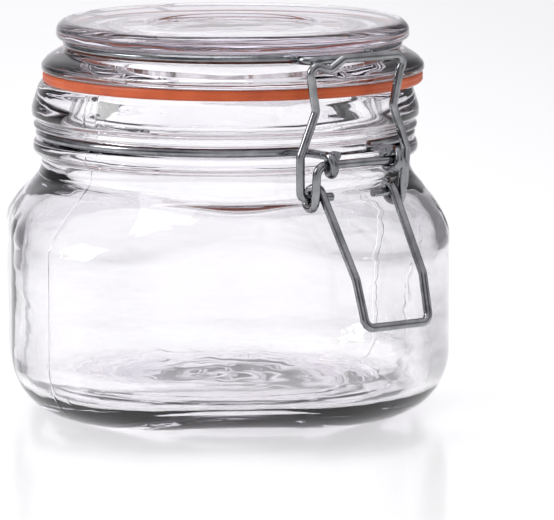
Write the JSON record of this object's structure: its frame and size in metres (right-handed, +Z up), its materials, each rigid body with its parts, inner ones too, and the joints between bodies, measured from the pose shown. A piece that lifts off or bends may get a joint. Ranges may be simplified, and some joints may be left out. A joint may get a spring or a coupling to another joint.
{
  "type": "bail clamp jar",
  "caption": "Square glass storage jar with a glass lid, rubber gasket and a wire bail clamp whose lever draws the hinged lid down onto the mouth.",
  "frame": {"origin": "centre of the jar's base, on the plane the jar stands on", "axes": "+Z up along the neck; the jar's flat sides face along X and Y; the clamp sits 31 degrees from -Y toward +X, and the lid's hinge opposite it"},
  "size_m": [0.102, 0.1135, 0.0912],
  "materials": {
    "glass_jar": "clear pressed soda-lime glass",
    "glass_lid": "clear pressed soda-lime glass",
    "rubber_gasket": "orange natural rubber, matt",
    "neck_wire": "drawn bright steel wire",
    "lid_wire": "drawn bright steel wire",
    "lever": "drawn bright steel wire",
    "clamp_bail": "drawn bright steel wire"
  },
  "bodies": {
    "jar": {"glass_jar": "glass_jar"},
    "neck_band": {"neck_wire": "neck_wire"},
    "lid": {"lid_wire": "lid_wire", "glass_lid": "glass_lid", "rubber_gasket": "rubber_gasket"},
    "lever": {"lever": "lever"},
    "bail": {"clamp_bail": "clamp_bail"}
  },
  "joints": [
    {"name": "neck_swivel", "type": "hinge", "parent": "jar", "child": "neck_band", "pos_m": [0, 0, 0.06465], "axis": [0, 0, 1], "continuous": true},
    {"name": "lid_hinge", "type": "hinge", "parent": "neck_band", "child": "lid", "pos_m": [-0.02503, 0.04166, 0.0625], "axis": [-0.8572, -0.515, 0], "range_deg": [0, 110]},
    {"name": "lever_pivot", "type": "hinge", "parent": "neck_band", "child": "lever", "pos_m": [0.02725, -0.04534, 0.0625], "axis": [-0.8572, -0.515, 0], "range_deg": [0, 104]},
    {"name": "bail_pivot", "type": "hinge", "parent": "lever", "child": "bail", "pos_m": [0.02555, -0.04251, 0.0548], "axis": [-0.8572, -0.515, 0], "range_deg": [-135, 0]}
  ],
  "couplings": [
    {"joint": "bail_pivot", "follows": "lever_pivot", "ratio": -1.15}
  ]
}
